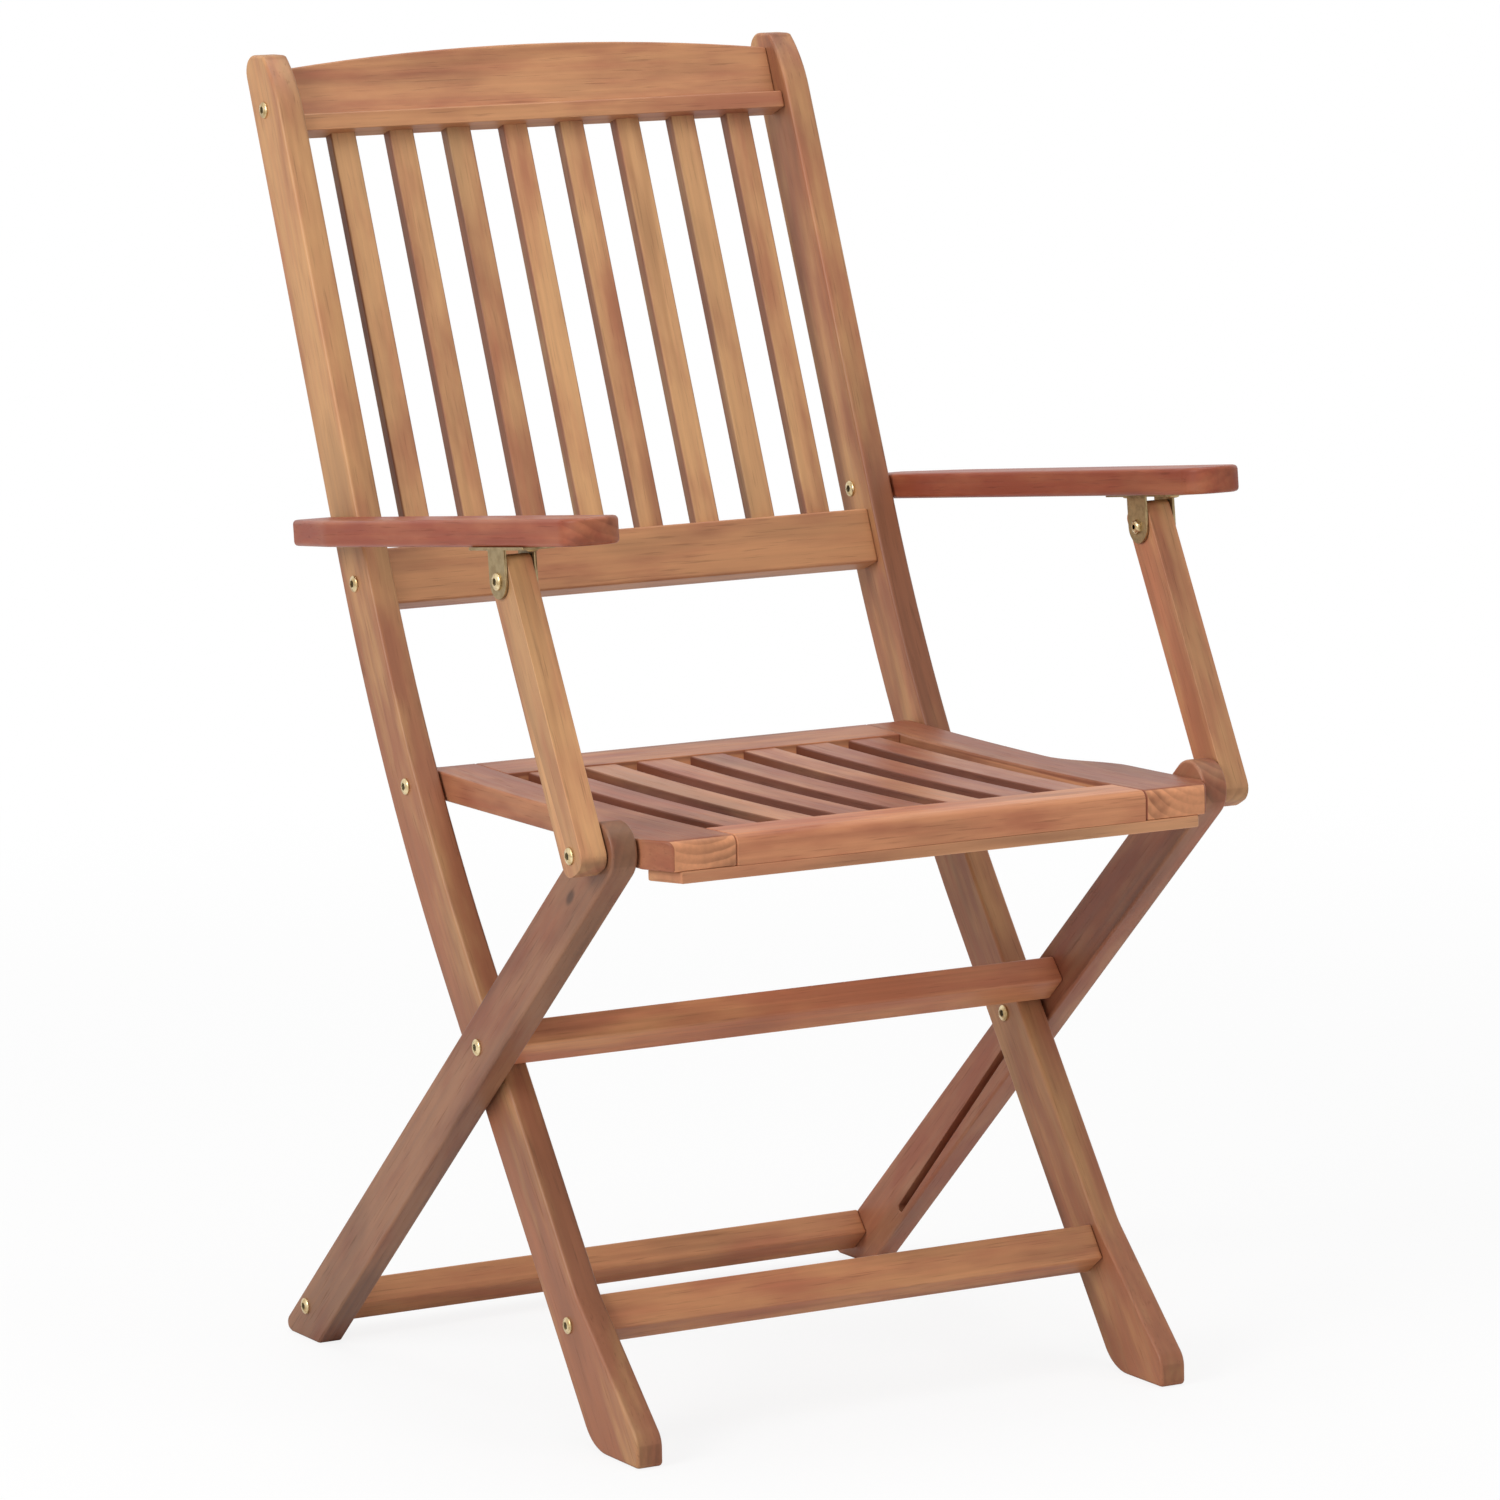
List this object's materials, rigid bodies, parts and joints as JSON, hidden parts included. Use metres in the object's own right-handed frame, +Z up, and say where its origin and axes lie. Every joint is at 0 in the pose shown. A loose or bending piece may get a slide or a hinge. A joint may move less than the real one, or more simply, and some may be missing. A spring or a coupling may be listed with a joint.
{
  "type": "folding garden armchair",
  "caption": "Folding garden armchair in oiled hardwood: bent stiles with a slatted high back, slatted seat, scissor rear legs, and flat arms on linked struts with metal brackets.",
  "frame": {"origin": "on the floor below the middle of the open chair's box", "axes": "+Z up, the chair faces -Y, +X is the sitter's left"},
  "size_m": [0.5182, 0.5897, 0.9005],
  "materials": {
    "stile_wood": "oiled hardwood, honey tan, satin",
    "rail_wood": "oiled hardwood, tan with reddish streaks, satin",
    "back_slat_wood": "oiled hardwood, honey to pinkish brown, satin",
    "seat_wood": "oiled hardwood, pinkish brown, glossier",
    "seat_slat_wood": "oiled hardwood, pinkish brown, glossier",
    "batten_wood": "oiled hardwood, light honey, satin",
    "leg_wood": "oiled hardwood, brown with darker edges, satin",
    "stretcher_wood": "oiled hardwood, reddish tan, satin",
    "arm_wood": "oiled hardwood, reddish brown, glossier",
    "strut_wood": "oiled hardwood, honey tan, satin",
    "bolts": "yellow-passivated steel, satin",
    "screws": "yellow-passivated steel, satin",
    "bracket_brass": "yellow-passivated steel strip, slightly dulled",
    "washers": "yellow-passivated steel, satin"
  },
  "bodies": {
    "back_frame": {"left_stile": "stile_wood", "right_stile": "stile_wood", "crest_rail": "rail_wood", "lower_back_rail": "rail_wood", "back_slat_1": "back_slat_wood", "back_slat_2": "back_slat_wood", "back_slat_3": "back_slat_wood", "back_slat_4": "back_slat_wood", "back_slat_5": "back_slat_wood", "back_slat_6": "back_slat_wood", "back_slat_7": "back_slat_wood", "back_slat_8": "back_slat_wood", "front_stretcher": "stretcher_wood", "crest_bolts": "bolts", "back_rail_bolts": "bolts", "front_stretcher_bolts": "bolts", "seat_pivot_bolts": "bolts", "arm_pivot_bolts": "bolts", "guide_pins": "bolts", "seat_washers": "washers", "arm_washers": "washers"},
    "seat": {"left_seat_board": "seat_wood", "right_seat_board": "seat_wood", "seat_front_board": "seat_wood", "seat_rear_rail": "seat_wood", "seat_slat_1": "seat_slat_wood", "seat_slat_2": "seat_slat_wood", "seat_slat_3": "seat_slat_wood", "seat_slat_4": "seat_slat_wood", "seat_slat_5": "seat_slat_wood", "seat_slat_6": "seat_slat_wood", "seat_slat_7": "seat_slat_wood", "seat_batten": "batten_wood", "batten_screws": "screws", "leg_pivot_bolts": "bolts", "leg_washers": "washers"},
    "rear_legs": {"left_rear_leg": "leg_wood", "right_rear_leg": "leg_wood", "upper_stretcher": "stretcher_wood", "lower_stretcher": "stretcher_wood", "upper_stretcher_bolts": "bolts", "lower_stretcher_bolts": "bolts"},
    "left_arm": {"left_arm_board": "arm_wood", "left_bracket": "bracket_brass", "left_bracket_screws": "screws", "left_strut_bolt": "bolts"},
    "right_arm": {"right_arm_board": "arm_wood", "right_bracket": "bracket_brass", "right_bracket_screws": "screws", "right_strut_bolt": "bolts"},
    "left_strut": {"left_strut": "strut_wood"},
    "right_strut": {"right_strut": "strut_wood"}
  },
  "joints": [
    {"name": "seat_fold", "type": "hinge", "parent": "back_frame", "child": "seat", "pos_m": [0, 0.0681, 0.4105], "axis": [-1, 0, 0], "range_deg": [0, 102]},
    {"name": "leg_swing", "type": "hinge", "parent": "seat", "child": "rear_legs", "pos_m": [0, -0.2524, 0.4105], "axis": [1, 0, 0], "range_deg": [0, 34.38]},
    {"name": "left_arm_fold", "type": "hinge", "parent": "back_frame", "child": "left_arm", "pos_m": [0, 0.15654, 0.5785], "axis": [-1, 0, 0], "range_deg": [0, 102.01]},
    {"name": "right_arm_fold", "type": "hinge", "parent": "back_frame", "child": "right_arm", "pos_m": [0, 0.15654, 0.5785], "axis": [-1, 0, 0], "range_deg": [0, 102.01]},
    {"name": "left_strut_swing", "type": "hinge", "parent": "left_arm", "child": "left_strut", "pos_m": [0, -0.16396, 0.5785], "axis": [1, 0, 0], "range_deg": [0, 102.01]},
    {"name": "right_strut_swing", "type": "hinge", "parent": "right_arm", "child": "right_strut", "pos_m": [0, -0.16396, 0.5785], "axis": [1, 0, 0], "range_deg": [0, 102.01]}
  ],
  "couplings": [
    {"joint": "leg_swing", "follows": "seat_fold", "ratio": 0.33687},
    {"joint": "left_arm_fold", "follows": "seat_fold", "ratio": 1},
    {"joint": "right_arm_fold", "follows": "seat_fold", "ratio": 1},
    {"joint": "left_strut_swing", "follows": "seat_fold", "ratio": 1},
    {"joint": "right_strut_swing", "follows": "seat_fold", "ratio": 1}
  ]
}
